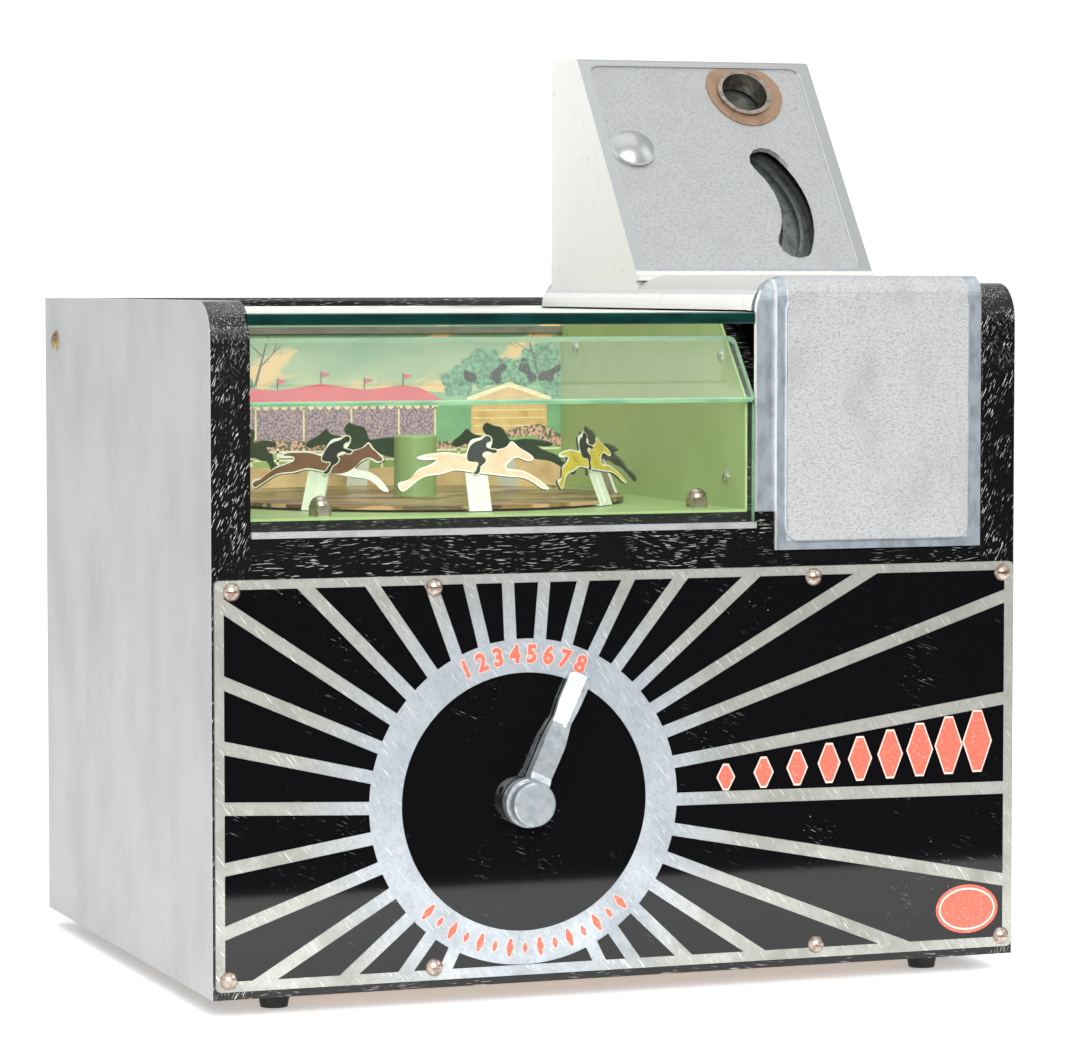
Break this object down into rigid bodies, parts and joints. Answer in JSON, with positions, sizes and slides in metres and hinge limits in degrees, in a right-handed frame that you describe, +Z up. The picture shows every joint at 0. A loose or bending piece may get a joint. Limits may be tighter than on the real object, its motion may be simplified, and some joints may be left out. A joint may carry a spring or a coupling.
{
  "type": "coin operated horse race game",
  "caption": "Countertop coin game: silver sided wooden cabinet, glazed window over a turning horse carousel, sunburst dial with pointer handle, and a cast coin head.",
  "frame": {"origin": "middle of the outline, level with the soles of the feet", "axes": "+Z up, -Y out of the front plate, +X to the right as the player sees it"},
  "size_m": [0.3474, 0.2838, 0.3837],
  "materials": {
    "silver_paint": "aluminium painted wood",
    "black_wood": "black lacquer with limed grain",
    "plain_wood": "bare pine",
    "sunburst_plate": "enamelled sheet",
    "nickel_screw": "worn nickel plate",
    "brass_screw": "aged",
    "black_rubber": "matt",
    "green_liner": "light green enamel",
    "printed_card": "printed",
    "grey_strip": "satin",
    "window_glass": "clear",
    "bright_strip": "bright",
    "cast_aluminium": "pebbled casting with smooth rims",
    "nickel_bush": "worn nickel",
    "copper_washer": "dull copper",
    "grey_track": "dark grey",
    "zinc_sheet": "galvanised",
    "steel": "turned",
    "gear_brass": "cut",
    "spring_steel": "tempered",
    "cast_handle": "polished",
    "turntable_print": "printed turf",
    "green_post": "green enamel",
    "horse_brown": "printed tin",
    "horse_cream": "printed tin",
    "horse_yellow": "printed tin",
    "horse_dark": "printed tin",
    "horse_grey": "printed tin",
    "horse_chestnut": "printed tin",
    "horse_black": "printed tin",
    "horse_tan": "printed tin",
    "post_strip": "pale enamel",
    "door_wood": "dark stained ply",
    "hinge_steel": "zinc plated"
  },
  "bodies": {
    "cabinet": {"side_board_left": "silver_paint", "side_board_right": "silver_paint", "front_board": "black_wood", "bottom_board": "plain_wood", "rear_top_rail": "black_wood", "inner_battens": "black_wood", "partition_board": "black_wood", "front_plate": "sunburst_plate", "plate_screws": "nickel_screw", "side_screws": "brass_screw", "rubber_feet": "black_rubber", "liner_tray": "green_liner", "liner_screws": "nickel_screw", "backdrop_card": "printed_card", "backdrop_rod": "grey_strip", "floor_studs": "nickel_screw", "front_glass": "window_glass", "slanted_glass": "window_glass", "top_glass": "window_glass", "sill_strip": "bright_strip", "coin_head_casting": "cast_aluminium", "coin_bush": "nickel_bush", "bush_washer": "copper_washer", "coin_track": "grey_track", "coin_chute": "zinc_sheet", "cash_box": "zinc_sheet", "works_deck": "steel", "gear_bracket": "steel", "carousel_bearing": "steel", "shaft_sleeve": "gear_brass", "detent_spring": "spring_steel", "lever_stud": "steel", "door_irons": "hinge_steel"},
    "selector": {"pointer_handle": "cast_handle", "handle_set_screw": "spring_steel", "selector_shaft": "steel", "selector_wheels": "gear_brass", "mitre_gear_front": "gear_brass"},
    "kicker": {"kicker_shaft": "steel", "mitre_gear_upright": "gear_brass", "kicker_arm": "steel"},
    "carousel": {"carousel_disc": "turntable_print", "carousel_axle": "steel", "carousel_post": "green_post", "ratchet_wheel": "gear_brass", "horse_posts": "post_strip", "horse_1": "horse_cream", "horse_2": "horse_yellow", "horse_3": "horse_grey", "horse_4": "horse_chestnut", "horse_5": "horse_black", "horse_6": "horse_tan", "horse_7": "horse_dark", "horse_8": "horse_brown"},
    "trip": {"trip_lever": "steel"},
    "door": {"back_door": "door_wood", "door_fittings": "hinge_steel"},
    "lock": {"lock_plug": "gear_brass"}
  },
  "joints": [
    {"name": "selector_turn", "type": "hinge", "parent": "cabinet", "child": "selector", "pos_m": [-0.0435, -0.1181, 0.0793], "axis": [0, -1, 0], "range_deg": [0, 49]},
    {"name": "kicker_turn", "type": "hinge", "parent": "cabinet", "child": "kicker", "pos_m": [-0.0435, -0.0561, 0.127], "axis": [0, 0, 1], "range_deg": [-49, 0]},
    {"name": "carousel_spin", "type": "hinge", "parent": "cabinet", "child": "carousel", "pos_m": [-0.0515, -0.0181, 0.177], "axis": [0, 0, 1], "continuous": true},
    {"name": "trip_tilt", "type": "hinge", "parent": "cabinet", "child": "trip", "pos_m": [0.0435, -0.1041, 0.103], "axis": [0, 1, 0], "range_deg": [0, 8]},
    {"name": "door_swing", "type": "hinge", "parent": "cabinet", "child": "door", "pos_m": [-0.1551, 0.1389, 0.127], "axis": [0, 0, 1], "range_deg": [0, 110]},
    {"name": "lock_turn", "type": "hinge", "parent": "door", "child": "lock", "pos_m": [0.1385, 0.1299, 0.133], "axis": [0, 1, 0], "range_deg": [0, 90]}
  ],
  "couplings": [
    {"joint": "kicker_turn", "follows": "selector_turn", "ratio": -1}
  ]
}
